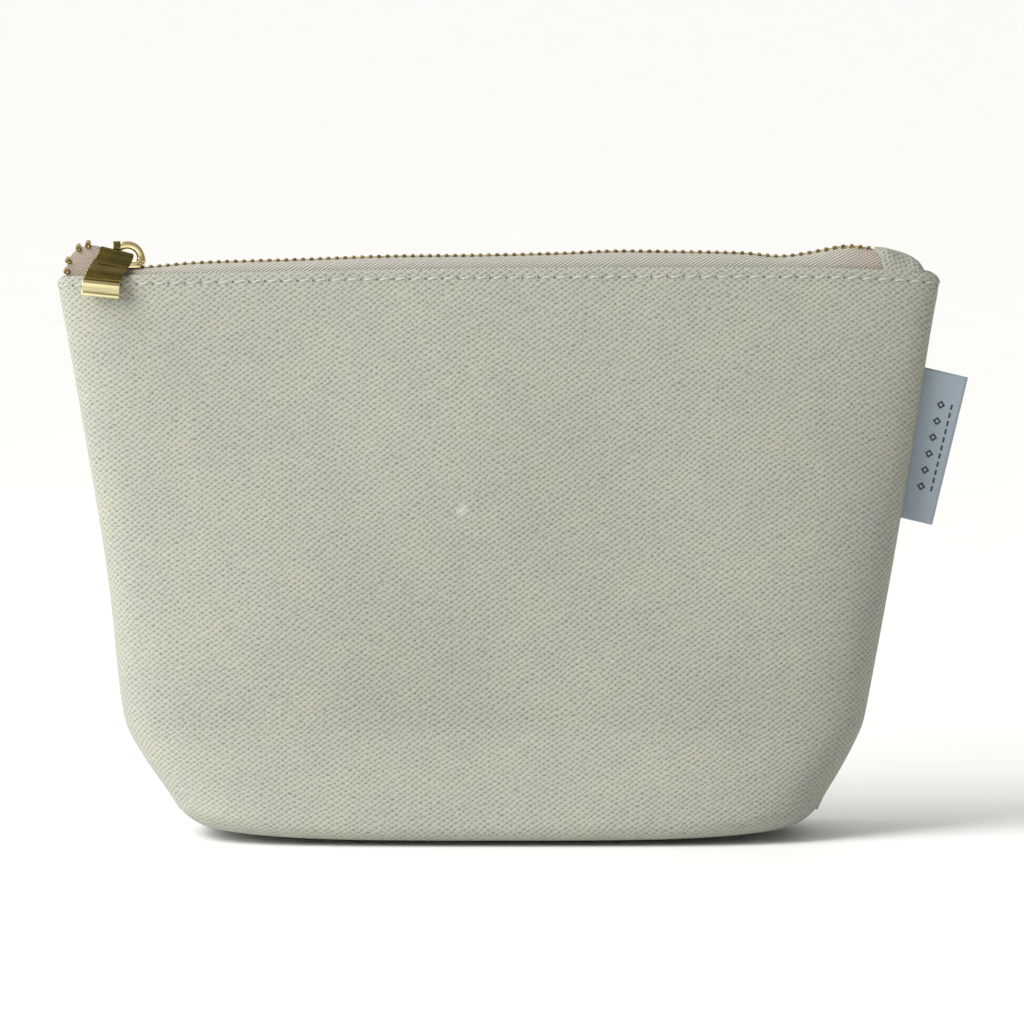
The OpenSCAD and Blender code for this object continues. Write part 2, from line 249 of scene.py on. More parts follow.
def base_lift(x, y, z):
    """How far the base curls up: a fourth power of x towards its sewn ends and a square of y
    towards its front and back edges, both fading out above the fold."""
    curl = 2.3 * np.clip(np.abs(x) / 70, 0, 1.15) ** 4 + 1.2 * np.clip(np.abs(y) / 26, 0, 1) ** 2
    return curl * np.exp(-(np.clip(z, 0, None) / 14) ** 2)


def cloth_walls(s, z, inset):
    """Points of a panel at share s across and height z: the level section's curve, inset, with slow
    sine hollows across the wall, the base's curl, the hem's rise, the side seam's valley and the
    sides' belly."""
    u = np.abs(s)
    x = np.sign(s) * (half_w(z) - inset) * level_run(u)
    y = -(half_d(z) - inset) * level_bow(u)
    up = np.clip(z / HEIGHT, 0, 1)
    wall = np.sin(np.pi * np.clip(up * 1.02, 0, 1)) * (1 - u ** 4)
    hollows = (
        0.75 * np.sin(x / 31 + 0.8) * np.sin(z / 27 + 0.4)
        + 0.5 * np.sin(x / 17 - z / 40 + 2.1)
        + 0.35 * np.sin(x / 11 + z / 19)
    )
    y = y + wall * hollows
    lifted = z + base_lift(x, y, z)
    lifted = lifted + (hem_line(x) - HEIGHT) * up ** 3
    valley = np.clip((u - 0.97) / 0.03, 0, 1) ** 2
    x = x - np.sign(s) * 0.5 * valley
    left = -2.5 * np.exp(-((z - 29) / np.where(z > 29, 26, 19)) ** 2)
    right = 0.9 * np.exp(-((z - 75) / 48) ** 2)
    x = x + np.where(s < 0, left, right) * u ** 2
    return np.stack([x, y, lifted], -1)


def hem_dent(z):
    """How far the topstitch pulls the wall in, in mm, by height below the hem."""
    return 0.22 * np.exp(-((z - (HEIGHT - STITCH_DROP)) / 0.8) ** 2)


def panel_grids(across, walls, inset, thick, top):
    """Outer and inner grids of a panel, from the seam along the base, round the fold and up to the
    top. The rim turns through a quarter circle on each face, so the edge is round."""
    s = np.linspace(-1, 1, across)[None, :]
    back = np.linspace(1, 0, 7)[:-1, None]
    turn = np.linspace(0, np.pi / 2, 9)[:-1, None]
    rise = np.linspace(0, 1, walls)[:, None] ** 1.12
    rim = np.linspace(0, 0.46 * np.pi, 6)[1:, None]
    grids = []
    for face in (0.0, 1.0):
        z = BASE_R + rise * (top - thick(HEIGHT) / 2 - BASE_R)
        depth = inset + face * thick(z)
        wall = cloth_walls(s, z, depth + (1 - face) * hem_dent(z))
        edge_t = thick(HEIGHT)
        rim_z = top - edge_t / 2 + edge_t / 2 * np.sin(rim)
        rim_in = inset + edge_t / 2 + (2 * face - 1) * edge_t / 2 * np.cos(rim)
        over = cloth_walls(s, rim_z, rim_in)
        own = inset + face * CANVAS_T * np.ones_like(turn)
        fold_z = BASE_R - (BASE_R - own) * np.cos(turn)
        fold = cloth_walls(s, fold_z, BASE_R - (BASE_R - own) * np.sin(turn))
        floor = np.repeat(fold[:1], len(back), 0)
        floor = floor * np.stack([1 - 0.03 * back, 1 - back, np.ones_like(back)], -1)
        grids.append(np.concatenate([floor, fold, wall, over]))
    return grids


def cloth_lengths(grid):
    """Cloth coordinates in mm: u along each row from its middle, v up each column with 0 at the
    top."""
    step = np.linalg.norm(np.diff(grid, axis=1), axis=-1)
    u = np.concatenate([np.zeros((len(grid), 1)), np.cumsum(step, 1)], 1)
    u = u - u[:, grid.shape[1] // 2][:, None]
    rise = np.linalg.norm(np.diff(grid, axis=0), axis=-1)
    v = np.concatenate([np.zeros((1, grid.shape[1])), np.cumsum(rise, 0)], 0)
    return np.stack([u, v - v[-1:], np.zeros_like(u)], -1)


def shell_piece(name, outer, inner, material, body, flip):
    """A closed thin piece between two grids of the same size, in mm: quads round the loop of both,
    and along its two side edges. Both faces carry the outer grid's cloth lengths."""
    rows, cols = outer.shape[:2]
    loop = np.concatenate([outer, inner[::-1]])
    lengths = cloth_lengths(outer)
    lengths = np.concatenate([lengths, lengths[::-1]])
    index = np.arange(2 * rows * cols).reshape(2 * rows, cols)
    nxt = np.roll(index, -1, 0)
    quads = np.stack([index[:, :-1], index[:, 1:], nxt[:, 1:], nxt[:, :-1]], -1).reshape(-1, 4)
    pair = index[::-1]
    low, high, low_in, high_in = index[:rows - 1], nxt[:rows - 1], pair[:rows - 1], pair[1:rows]
    left = np.stack([low[:, 0], high[:, 0], high_in[:, 0], low_in[:, 0]], -1)
    right = np.stack([high[:, -1], low[:, -1], low_in[:, -1], high_in[:, -1]], -1)
    faces = np.concatenate([quads, left, right])
    if flip:
        faces = faces[:, ::-1]
    return mesh_piece(name, loop.reshape(-1, 3), faces, material, body, lengths.reshape(-1, 3))


def mesh_piece(name, points, faces, material, body, lengths=None):
    """A smooth mesh object from points in mm and faces, with its material and body."""
    mesh = bpy.data.meshes.new(name)
    mesh.from_pydata((np.asarray(points) * MM).tolist(), [], [list(map(int, face)) for face in faces])
    if lengths is not None:
        held = mesh.attributes.new("cloth", "FLOAT_VECTOR", "POINT")
        held.data.foreach_set("vector", np.asarray(lengths, np.float32).ravel())
    mesh.polygons.foreach_set("use_smooth", np.full(len(mesh.polygons), True))
    mesh.materials.append(material)
    mesh.update()
    piece = bpy.data.objects.new(name, mesh)
    bpy.context.scene.collection.objects.link(piece)
    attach(piece, body)
    return piece


def mirrored(grid):
    """The same grid on the other side of the pouch."""
    return grid * np.array([1, -1, 1])


def both_sides(outer, inner, to_back):
    """A front piece's grids, and the back one's, whose faces have to be turned about."""
    return ("front", outer, inner, False), ("back", to_back(outer), to_back(inner), True)


def panel_t(z):
    """Canvas is one layer in the wall and two in the hem, where its edge is folded in."""
    fold = np.clip((z - (HEIGHT - HEM_FOLD)) / 1.5, 0, 1)
    return CANVAS_T + (HEM_T - CANVAS_T) * fold


NEP = ((-9.2, -60.5, 0.0), 1.6, "#B6B7AD")
SEED = ((-7.8, -86.0, 0.0), 0.5, "#B58C52")
SEED_LEFT = ((-72.0, -12.6, 0.0), 0.5, "#B39A66")
canvas = {
    "front": duck_canvas("cotton_duck_woven_front", (NEP, SEED, SEED_LEFT)),
    "back": duck_canvas("cotton_duck_woven"),
}
canvas_outer, canvas_inner = panel_grids(181, 110, 0.0, panel_t, HEIGHT)
for side, outer, inner, flip in both_sides(canvas_outer, canvas_inner, mirrored):
    name = "canvas_" + side + "_panel"
    panel = shell_piece(name, outer, inner, canvas[side], "pouch", flip)
    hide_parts(side + "_panel")

# ---------------------------------------------------------------- lining
# A bag of thin plain cotton inside the canvas, sewn to the zip tapes' inner faces by the topstitch.
LINING_T, LINING_IN, LINING_DROP = 0.4, 2.4, 1.6


def lining_cotton():
    """Thin calico: a fine even plain weave, drawn at 0.5 mm so that it shows."""
    material, tree, shader = new_material("calico_woven")
    cloth = add(tree, "Attribute", attribute_name="cloth").outputs["Vector"]
    phase = vector(tree, "MULTIPLY", cloth, (math.pi / 0.5, math.pi / 0.5, 0.0))
    phase = vector(tree, "SINE", phase)
    part = add(tree, "SeparateXYZ", {0: phase})
    weave = calc(tree, "MULTIPLY", part.outputs[0], part.outputs[1])
    # Painted shade and highlight: the weave is darker where it dips and paler where it rises.
    ramp = colour_ramp(tree, weave, (0.0, "#C9C5B6"), (1.0, "#DEDACD"))
    bump = add(tree, "Bump", {"Height": weave, "Strength": 0.5, "Distance": 0.00008})
    feed(tree, shader, {"Base Color": ramp, "Normal": bump, "Roughness": 0.9})
    return material


calico = lining_cotton()
top = HEIGHT - LINING_DROP
outer, inner = panel_grids(61, 30, LINING_IN, lambda z: LINING_T + 0 * z, top)
for side, outer, inner, flip in both_sides(outer, inner, mirrored):
    lining = shell_piece("lining_" + side, outer, inner, calico, "pouch", flip)
    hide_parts(side + "_lining")

# ---------------------------------------------------------------- zip tapes
# Two beige polyester tapes in a herringbone-like twill. Each is flat by the teeth, turns down and is
# sewn inside its hem. Left of the slider the open tapes stand up and curl round into the corner.
ZIP_LEFT, ZIP_LEFT_Z, ZIP_SLOPE, ZIP_END = -92.8, 141.29, math.tan(math.radians(1.4)), 93.5
TAPE_T, TAPE_EDGE, TAPE_FLAT, TAPE_DEPTH, TAPE_IN = 0.5, 1.5, 4.2, 8.0, 1.95
OPEN_X, CURL_MID, CURL_R = -97.6, (-101.2, 141.3), 6.15
BACK_LOW, TAPE_END = 0.65, 97.5


def zip_height(x):
    """The zip's centre line: the slider's straight way, plus the slow waves of a sewn zip as two
    smooth steps and four bells."""
    crest = 0.95 / (1 + np.exp(-(x + 81) / 3)) * (1 - 1 / (1 + np.exp(-(x - 50) / 6)))
    swell = 0.35 * np.exp(-((x + 28) / 16) ** 2) + 0.3 * np.exp(-((x - 29) / 9) ** 2)
    dip = -1.1 * np.exp(-((x - 70.5) / 7) ** 2) + 1.1 * np.exp(-((x - 87) / 6) ** 2)
    return ZIP_LEFT_Z + ZIP_SLOPE * (x - ZIP_LEFT) + crest + swell + dip


def tooth_path(t):
    """The toothed edge of the front tape at t mm from the slider's left end: right of it along the
    zip, left of it up and round a circle into the corner. Returns x and z, the turn and the share
    of the climb."""
    x = OPEN_X + t
    straight = np.stack([x, zip_height(x)], -1)
    left = np.clip(-t, 0, None)
    lift = np.clip(left / 3.4, 0, 1)
    lift = lift * lift * (3 - 2 * lift)
    angle = np.radians(62) + np.clip(left - 2.2, 0, None) / CURL_R
    circle = np.stack([CURL_MID[0] + CURL_R * np.cos(angle), CURL_MID[1] + CURL_R * np.sin(angle)], -1)
    share = lift[..., None]
    climb = (1 - share) * np.stack([x, np.full_like(x, ZIP_LEFT_Z)], -1) + share * circle
    return np.where((t < 0)[..., None], climb, straight), np.where(t < 0, lift * angle, 0.0), lift


def tape_grids():
    """The tape's two faces: across it a quartic Bezier curve from the toothed edge, out flat, over
    and down inside the hem."""
    t = np.concatenate([np.linspace(-16.0, 0, 60)[:-1], np.linspace(0, TAPE_END - OPEN_X, 330)])
    edge, _, lift = tooth_path(t)
    foot_x = np.where(t < 0, OPEN_X + t * 0.48, OPEN_X + t)
    room = -wall_y(foot_x, HEIGHT, TAPE_IN + TAPE_T)
    flat = np.minimum(TAPE_FLAT, room - 0.5)
    w = np.linspace(0, 1, 26)
    grids = []
    for side in (0.5, -0.5):
        up = side * TAPE_T
        hem = hem_line(foot_x)
        out = TAPE_EDGE + lift * 1.2
        turn_x = edge[:, 0] * (1 - lift * 0.3) + foot_x * lift * 0.3
        turn_y = -(flat * (1 - lift) + (out + 0.5) * lift) - up * 0.5
        sewn_y = wall_y(foot_x, HEIGHT - TAPE_DEPTH, TAPE_IN + TAPE_T * 0.5 - up)
        points = np.stack([
            np.stack([edge[:, 0], -out, edge[:, 1] + up * (1 - lift)], -1),
            np.stack([turn_x, turn_y, edge[:, 1] + up - 1.2 * lift], -1),
            np.stack([foot_x, -room - up, hem + 0.8], -1),
            np.stack([foot_x, -room - up, hem - 1.5], -1),
            np.stack([foot_x, sewn_y, hem - TAPE_DEPTH], -1),
        ])
        weights = [math.comb(4, k) * w ** k * (1 - w) ** (4 - k) for k in range(5)]
        grids.append(sum(c[:, None, None] * p[None] for c, p in zip(weights, points)))
    return grids


def back_tape(grid):
    """The back tape lies a little lower at its teeth, and as high as the front one where it is
    sewn."""
    down = np.linspace(1, 0, len(grid))[:, None] ** 1.5 * BACK_LOW
    return mirrored(grid) - np.stack([0 * down, 0 * down, down], -1)


def zip_twill():
    """Polyester zip tape: diagonal twill ribs, the absolute sine of a slanting distance, 0.6 mm
    apart. It is pinkish at the tape's ends, where heat has sealed them."""
    material, tree, shader = new_material("polyester_tape_twill")
    cloth = add(tree, "Attribute", attribute_name="cloth").outputs["Vector"]
    wobble = noise(tree, cloth, 0.5, 2.0)
    wobble = vector(tree, "MULTIPLY", wobble.outputs["Color"], (0.5, 0.5, 0.0))
    woven = vector(tree, "ADD", cloth, wobble)
    diagonal = vector(tree, "DOT_PRODUCT", woven, (math.pi / 1.16, math.pi / 0.67, 0.0))
    rib = calc(tree, "SINE", diagonal.outputs["Value"])
    rib = calc(tree, "ABSOLUTE", rib)
    grain = noise(tree, cloth, 3.0, 3.0)
    height = calc(tree, "MULTIPLY_ADD", grain.outputs["Fac"], 0.6, rib)
    # Painted shade and highlight: the grooves between the ribs are darker and the ribs' crowns paler.
    tone = span(tree, height, 0.2, 1.3)
    ramp = colour_ramp(tree, tone, (0.0, "#858279"), (1.0, "#C2BFB5"))
    place = add(tree, "TexCoord").outputs["Object"]
    where = add(tree, "SeparateXYZ", {0: place})
    outwards = calc(tree, "ABSOLUTE", where.outputs[0])
    end = span(tree, outwards, 0.08, 0.1)
    pink = blend(tree, end, linear("#FFFFFF"), linear("#F2E2DA"))
    colour = blend(tree, 1.0, ramp, pink, "MULTIPLY")
    bump = add(tree, "Bump", {"Height": height, "Strength": 0.9, "Distance": 0.0002})
    feed(tree, shader, {
        "Base Color": colour, "Normal": bump, "Roughness": 0.8, "Sheen Weight": 0.1,
    })
    return material


twill = zip_twill()
for side, upper, under, flip in both_sides(*tape_grids(), back_tape):
    tape = shell_piece("zip_tape_twill_" + side, upper, under, twill, "pouch", flip)
    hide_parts("zip_tape_" + side)

# ---------------------------------------------------------------- zip teeth
# Stamped brass teeth, each a fork pressed onto the tape's corded edge with a cupped head that meshes
# with the other row. Closed teeth run right from the slider, and a few open ones left of it.
TOOTH_PITCH, TOOTH_L, TOOTH_H, TOOTH_BACK, TOOTH_HEAD = 2.1, 1.35, 1.8, 2.6, 0.4
TEETH_START, TEETH_STOP = -93.2, ZIP_END - 0.8
# The open teeth, in mm of tape left of the slider's end, and how far their middles stand from the zip
OPEN_TEETH, OPEN_OUT = (-6.1, -8.6, -12.7, -15.3), 1.1


def rounded_block(length, width, height, power, across=10, round_it=12):
    """A superellipsoid: the cosines and sines of two angles, raised to a power under 1 that squares
    it."""
    a = np.linspace(-np.pi / 2, np.pi / 2, across)[1:-1, None]
    b = np.linspace(0, 2 * np.pi, round_it, endpoint=False)[None, :]
    waves = np.stack(np.broadcast_arrays(np.cos(a), np.sin(a), np.cos(b), np.sin(b)))
    cos_a, sin_a, cos_b, sin_b = np.sign(waves) * np.abs(waves) ** power
    ring = np.stack([cos_a * cos_b, sin_a, cos_a * sin_b], -1)
    points = np.concatenate([ring.reshape(-1, 3), [[0, -1, 0], [0, 1, 0]]])
    index = np.arange(ring.size // 3).reshape(-1, round_it)
    nxt = np.roll(index, -1, 1)
    faces = np.stack([index[:-1], nxt[:-1], nxt[1:], index[1:]], -1).reshape(-1, 4).tolist()
    south, north = index.size, index.size + 1
    faces += [[south, near, far] for near, far in zip(index[0].tolist(), nxt[0].tolist())]
    faces += [[north, far, near] for near, far in zip(index[-1].tolist(), nxt[-1].tolist())]
    return points * np.array([length, width, height]) / 2, faces


def tooth_shape():
    """One tooth along -Y: a squared body, pinched in two steps at the neck behind its head, and
    wider where it grips the cord."""
    points, faces = rounded_block(TOOTH_L, TOOTH_BACK + TOOTH_HEAD, TOOTH_H, 0.7)
    share = points[:, 1] / (TOOTH_BACK + TOOTH_HEAD) + 0.5
    neck = 1 - 0.35 * np.clip((share - 0.45) / 0.2, 0, 1)
    grip = 1 - 0.4 * np.clip((share - 0.4) / 0.4, 0, 1)
    points = points * np.stack([neck, np.ones_like(neck), grip], -1)
    return points + np.array([0, (TOOTH_HEAD - TOOTH_BACK) / 2, 0]), faces


def copies(points, faces, matrices, places):
    """Many copies of one shape: each turned by its own 3 by 3 matrix and moved to its place."""
    turned = np.einsum("kij,nj->kni", matrices, points) + places[:, None, :]
    n = len(points)
    spread = [[i + k * n for i in f] for k in range(len(places)) for f in faces]
    return turned.reshape(-1, 3), spread


def turn_about_y(angle):
    """Rotation matrices about Y that carry +X towards +Z by each angle."""
    c, s, o, i = np.cos(angle), np.sin(angle), np.zeros_like(angle), np.ones_like(angle)
    return np.stack([np.stack([c, o, -s], -1), np.stack([o, i, o], -1), np.stack([s, o, c], -1)], -2)


def stamped_brass():
    """Antiqued brass: a dark warm metal, brighter in random patches, with fine tumbling scratches."""
    material, tree, shader = new_material("brass_stamped_antiqued")
    place = add(tree, "TexCoord").outputs["Object"]
    stain = noise(tree, place, 900.0, 4.0, 0.7)
    ramp = colour_ramp(tree, stain.outputs["Fac"], (0.35, "#6B5A30"), (0.68, "#C9B274"))
    rough = add(tree, "MapRange", {"Value": stain.outputs["Fac"], "To Min": 0.42, "To Max": 0.24})
    bump = add(tree, "Bump", {"Height": stain.outputs["Fac"], "Strength": 0.25, "Distance": 0.00004})
    feed(tree, shader, {"Base Color": ramp, "Roughness": rough, "Normal": bump, "Metallic": 1.0})
    return material


def teeth_piece(name, shift, back):
    """A tape's row of teeth: closed ones at their pitch along the zip, then open ones round the
    curl."""
    x = np.arange(TEETH_START + TOOTH_PITCH / 4 + shift, TEETH_STOP, TOOTH_PITCH)
    closed = np.stack([x, np.zeros_like(x), zip_height(x) - (BACK_LOW if back else 0)], -1)
    curl, angle, _ = tooth_path(np.array(OPEN_TEETH))
    opened = np.stack([curl[:, 0], np.full(len(curl), -OPEN_OUT), curl[:, 1]], -1)
    roll = np.concatenate([np.arctan(np.gradient(zip_height(x), x)), angle - np.pi / 2])
    points, faces = tooth_shape()
    if back:
        points = points * np.array([1, -1, 1])
        faces = [f[::-1] for f in faces]
        opened = opened * np.array([1, -1, 1])
    points, faces = copies(points, faces, turn_about_y(roll), np.concatenate([closed, opened]))
    return mesh_piece(name, points, faces, brass, "pouch")


brass = stamped_brass()
teeth_front = teeth_piece("zip_teeth_row_front", 0.0, False)
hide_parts("zip_teeth_front")
teeth_back = teeth_piece("zip_teeth_row_back", TOOTH_PITCH / 2, True)
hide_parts("zip_teeth_back")

# ---------------------------------------------------------------- end tab
# A scrap of the same canvas folded over the closed end of the zip before the side seam is sewn.
# Turned out, it makes a soft roll that stands on both hems and is hollow at its end.
TAB_START, TAB_END, TAB_T = 95.8, 106.3, 1.0
TAB_FALL = (
    (0, 0.17, 0.34, 0.53, 0.7, 0.84, 0.91, 0.97, 1),
    (5.3, 5.25, 4.7, 4.0, 3.4, 2.4, 1.5, 0.5, -0.4),
)


def tab_grids():
    """Arches across the zip, each a squared half ellipse from hem to hem. Their height falls along
    the tab through TAB_FALL's shares and heights, and their tops lean left at its open end."""
    f = np.linspace(0, 1, 46)[:, None]
    turn = np.linspace(0, np.pi, 61)[None, :]
    x = TAB_START + (TAB_END - TAB_START) * f
    foot = hem_line(x) - 0.9
    crest = hem_line(x) + np.interp(f, *TAB_FALL)
    y = -wall_y(x, HEIGHT, CANVAS_T * 0.35)
    grids = []
    for inset in (0.0, TAB_T):
        side = np.sign(np.cos(turn)) * np.abs(np.cos(turn)) ** 0.8
        high = np.clip(crest - inset - foot, 0.25, None) * np.sin(turn) ** 0.8
        sag = 0.3 * np.sin(f * 9) * np.sin(turn * 2) * np.clip(high - 1, 0, 1)
        lean = -2.2 * np.sin(turn) ** 2 * (1 - f) ** 2.5
        grids.append(np.stack([x + lean + 0 * turn, -(y - inset) * side, foot + high + sag], -1))
    return grids


outer, inner = tab_grids()
end_tab = shell_piece("canvas_end_tab", outer, inner, canvas["back"], "pouch", True)
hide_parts("zip_end_tab")

# ---------------------------------------------------------------- topstitching
# A row of lockstitch through canvas, tape and lining below each hem, in off-white spun thread.
# Each stitch is a short twisted strand whose ends dive into its needle holes.


def spun_thread():
    """Spun polyester thread: off-white, with the two plies' twist as slanting grooves 0.5 mm
    apart."""
    material, tree, shader = new_material("polyester_thread_spun")
    place = add(tree, "TexCoord").outputs["Object"]
    twist = vector(tree, "DOT_PRODUCT", place, (12500.0, 3000.0, 9000.0))
    ply = calc(tree, "SINE", twist.outputs["Value"])
    # Painted shade and highlight: the grooves of the twist are darker and the plies' crowns paler.
    ramp = colour_ramp(tree, ply, (0.0, "#B0AFA5"), (1.0, "#CCCBC2"))
    bump = add(tree, "Bump", {"Height": ply, "Strength": 0.5, "Distance": 0.00005})
    feed(tree, shader, {"Base Color": ramp, "Normal": bump, "Roughness": 0.65, "Sheen Weight": 0.2})
    return material


def tube_faces(rings, sides):
    """Faces of a tube: quads between each ring and the next, and a flat face on each end."""
    index = np.arange(rings * sides).reshape(rings, sides)
    nxt = np.roll(index, -1, 1)
    quads = np.stack([index[:-1], nxt[:-1], nxt[1:], index[1:]], -1).reshape(-1, 4)
    return quads.tolist() + [index[0, ::-1].tolist(), index[-1].tolist()]


def stitch_piece(name, grid, side):
    """Strands at even cloth lengths along the row: rings about a path that follows the wall,
    slants, and dives by a fourth power at both ends."""
    lengths = cloth_lengths(grid)
    row = np.argmin(np.abs(lengths[:, grid.shape[1] // 2, 1] + STITCH_DROP))
    u = lengths[row, :, 0]
    last = int((u[-1] - 3) // STITCH_PITCH)
    mid = np.arange(-last, last + 1)[:, None] * STITCH_PITCH
    along = np.linspace(-1, 1, 9)[None, :]
    at = mid + along * STITCH_L / 2
    slant = along * 0.26
    path = np.stack([np.interp(at, u, grid[row, :, k]) for k in range(3)], -1)
    way = np.gradient(path, axis=1)
    way /= np.linalg.norm(way, axis=-1, keepdims=True)
    out = np.cross(way, np.array([0.0, 0.0, 1.0])) * side
    out /= np.linalg.norm(out, axis=-1, keepdims=True)
    up = np.cross(out, way)
    dive = 0.08 - 0.6 * np.abs(along) ** 4
    path = path + out * dive[..., None] + up * slant[..., None]
    ring = np.linspace(0, 2 * np.pi, 8, endpoint=False)
    thick = THREAD_D / 2 * (1 - 0.35 * np.abs(along) ** 6)[..., None, None]
    points = path[:, :, None] + thick * (
        np.cos(ring)[:, None] * out[:, :, None] + np.sin(ring)[:, None] * up[:, :, None]
    )
    stitches, rings, sides = points.shape[:3]
    one = tube_faces(rings, sides)
    faces = [[i + k * rings * sides for i in f] for k in range(stitches) for f in one]
    if side < 0:
        faces = [f[::-1] for f in faces]
    return mesh_piece(name, points.reshape(-1, 3), faces, thread, "pouch")


thread = spun_thread()
stitch_front = stitch_piece("topstitch_row_front", canvas_outer, 1)
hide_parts("topstitch_front")
stitch_back = stitch_piece("topstitch_row_back", mirrored(canvas_outer), -1)
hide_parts("topstitch_back")

# ---------------------------------------------------------------- hidden seam threads
# The side, base and corner seams' thread lies between canvas and lining, and follows the curled base.
SEAM_IN = 1.4
for seam in ("left", "right"):
    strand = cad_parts["seam_thread_" + seam]
    strand.data.materials.clear()
    strand.data.materials.append(thread)


def strand_piece(name, x, y):
    """A strand just above the base's canvas: a round tube along the line, lifted with the base."""
    path = np.stack([x, y, SEAM_IN + 0.1 + base_lift(x, y, 0 * x)], -1)
    way = np.gradient(path, axis=0)
    way /= np.linalg.norm(way, axis=1, keepdims=True)
    side = np.cross(way, np.array([0.0, 0.0, 1.0]))
    a = np.linspace(0, 2 * np.pi, 10, endpoint=False)[None, :, None]
    ring = side[:, None] * np.cos(a) + np.cross(side, way)[:, None] * np.sin(a)
    points = path[:, None] + ring * (THREAD_D / 2)
    faces = tube_faces(*points.shape[:2])
    strand = mesh_piece(name, points.reshape(-1, 3), faces, thread, "pouch")
    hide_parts(name.replace("strand", "thread"))


BASE_REACH, CORNER_REACH, CORNER_X = 68.5, 13.5, 71.0
along = np.linspace(-BASE_REACH, BASE_REACH, 120)
strand_piece("seam_strand_bottom", along, 0 * along)
across = np.linspace(-CORNER_REACH, CORNER_REACH, 12)
strand_piece("seam_strand_corner_left", 0 * across - CORNER_X, across)
strand_piece("seam_strand_corner_right", 0 * across + CORNER_X, across)

# ---------------------------------------------------------------- side label
# A satin-woven ribbon folded double, its cut ends caught in the right side seam. A plain woven
# motif of small lozenges and a broken line fills it.
LABEL_Z, LABEL_L, LABEL_W, LABEL_IN, PLY_T = 116.6, 38.0, 10.6, 1.0, 0.32
LABEL_LEAN = math.radians(9.4 + 4.0)
# The motif, in mm of ribbon: pitches, sizes, distances from the cut end and where it stops
LOZENGE_PITCH, LOZENGE_R, LOZENGE_V = 4.2, 1.2, 17.4
DASH_PITCH, DASH_HALF, LINE_HALF, LINE_V = 2.1, 0.7, 0.3, 14.7
MOTIF_END = 11.9


def satin_ribbon():
    """Pale satin: long weft floats give fine cross ribs and a sheen, and darker weft makes the
    motif."""
    material, tree, shader = new_material("satin_ribbon_woven")
    cloth = add(tree, "Attribute", attribute_name="cloth").outputs["Vector"]
    part = add(tree, "SeparateXYZ", {0: cloth})
    rib = calc(tree, "MULTIPLY", part.outputs[0], math.pi / 0.36)
    rib = calc(tree, "SINE", rib)
    grain = noise(tree, cloth, 1.6, 4.0, 0.7)
    height = calc(tree, "MULTIPLY_ADD", rib, 0.12, grain.outputs["Fac"])
    # Painted shade: these blue-grey colours are a white ribbon as it looks in shade. Because they follow
    # the height, the grooves between the ribs are darker, and the grain adds random tone.
    ramp = colour_ramp(tree, height, (0.0, "#7C8994"), (1.0, "#98A4AE"))
    # Lozenges down the ribbon, where |u| + |v| is under their half size, with hollow middles.
    shifted = calc(tree, "ADD", part.outputs[0], LOZENGE_PITCH / 2)
    beat = calc(tree, "PINGPONG", shifted, LOZENGE_PITCH / 2)
    across = calc(tree, "ADD", part.outputs[1], LOZENGE_V)
    across = calc(tree, "ABSOLUTE", across)
    size = calc(tree, "ADD", beat, across)
    lozenge = span(tree, size, LOZENGE_R, LOZENGE_R - 0.2)
    hollow = span(tree, size, 0.42, 0.52)
    lozenge = calc(tree, "MULTIPLY", lozenge, hollow)
    # A broken line beside them.
    beside = calc(tree, "ADD", part.outputs[1], LINE_V)
    beside = calc(tree, "ABSOLUTE", beside)
    beside = span(tree, beside, LINE_HALF, LINE_HALF - 0.1)
    dash = calc(tree, "PINGPONG", shifted, DASH_PITCH / 2)
    dash = span(tree, dash, DASH_HALF, DASH_HALF - 0.08)
    line = calc(tree, "MULTIPLY", beside, dash)
    motif = calc(tree, "MAXIMUM", lozenge, line)
    ends = calc(tree, "ABSOLUTE", part.outputs[0])
    ends = span(tree, ends, MOTIF_END, MOTIF_END - 0.15)
    motif = calc(tree, "MULTIPLY", motif, ends)
    colour = blend(tree, motif, ramp, linear("#20242A"))
    bump = add(tree, "Bump", {"Height": height, "Strength": 0.4, "Distance": 0.00006})
    feed(tree, shader, {
        "Base Color": colour, "Normal": bump, "Roughness": 0.5, "Sheen Weight": 0.25,
    })
    return material


def label_grids():
    """A ribbon along a hairpin: out along one ply, round the fold by half a circle and back along
    the other, with a slow sine curve across it."""
    down = np.linspace(-LABEL_L / 2, LABEL_L / 2, 60)[None, :]
    ply, fold = np.linspace(-LABEL_IN, LABEL_W, 24), np.linspace(-np.pi / 2, np.pi / 2, 9)
    out = np.concatenate([ply, np.full(9, LABEL_W), ply[::-1]])
    turn = np.concatenate([np.full(24, fold[0]), fold, np.full(24, fold[-1])])
    grids = []
    for face in (0.0, PLY_T):
        radius = PLY_T + 0.06 - face
        x = (out + radius * np.cos(turn))[:, None] + 0 * down
        y = (radius * np.sin(turn))[:, None] + 0.35 * np.sin(x / 5.2) * np.cos(down / 15)
        z = -LABEL_L / 2 + down + 0 * x
        c, s = math.cos(LABEL_LEAN), math.sin(LABEL_LEAN)
        seam = half_w(np.array(LABEL_Z)) + 0.6
        grids.append(np.stack([seam + x * c + z * s, y, LABEL_Z - x * s + z * c], -1))
    return grids


satin = satin_ribbon()
outer, inner = label_grids()
side_label = shell_piece("ribbon_label", outer, inner, satin, "pouch", False)
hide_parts("side_label")

# ---------------------------------------------------------------- slider
# A die-cast zinc slider, tumbled smooth and plated pale gold: two shield-shaped plates with flanges
# that hold the tapes, a divider between them and a tall hoop that carries the puller.
SLIDER_L, SLIDER_W, PLATE_T, PLATE_Z, SLIT_H, FLANGE_Y = 10.0, 7.2, 0.8, 1.15, 0.9, 2.9
HOOP_R, HOOP_BAR, HOOP_LEG, HOOP_RIGHT = 4.4, 2.0, 0.6, 0.5
SLIDER_AT = np.array([ZIP_LEFT, 0.0, ZIP_LEFT_Z])


